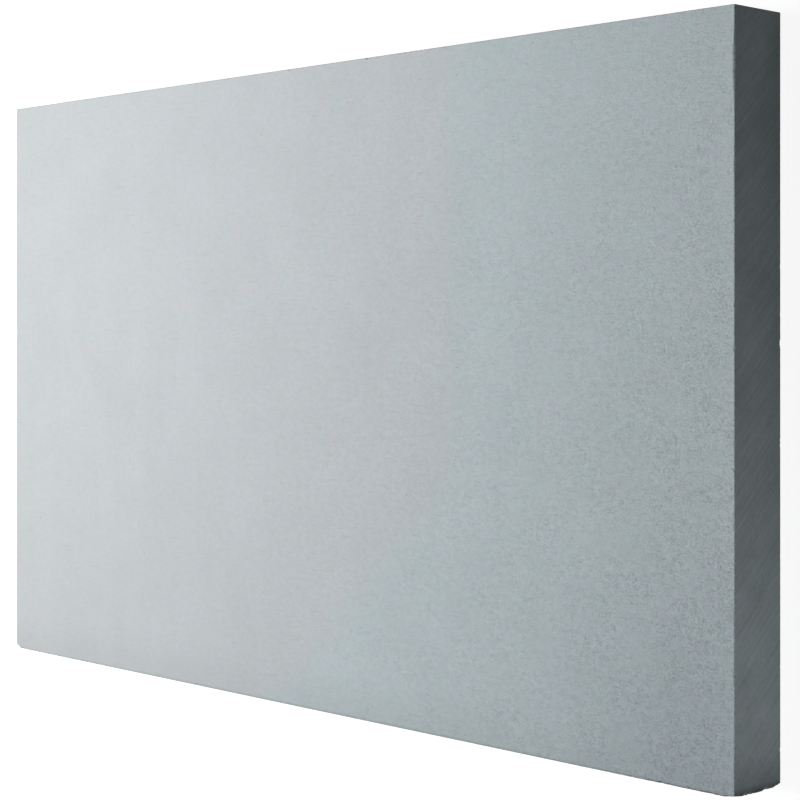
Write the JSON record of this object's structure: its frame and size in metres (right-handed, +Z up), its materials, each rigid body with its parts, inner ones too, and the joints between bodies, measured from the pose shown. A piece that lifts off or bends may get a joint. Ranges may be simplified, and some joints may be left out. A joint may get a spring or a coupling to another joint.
{
  "type": "calcium silicate insulation board",
  "caption": "Rigid rectangular insulation board of grey calcium silicate, sawn square, with rubbed arrises and knocked corners; lies flat, is cut, glued or butted to line walls and stoves.",
  "frame": {"origin": "centre of the underside, at the level that the board lies on", "axes": "+X along the length, +Y across the width, +Z up through the thickness"},
  "size_m": [1, 0.61, 0.06],
  "materials": {
    "calcium_silicate": "matte"
  },
  "bodies": {
    "root": {"board": "calcium_silicate"}
  },
  "joints": []
}
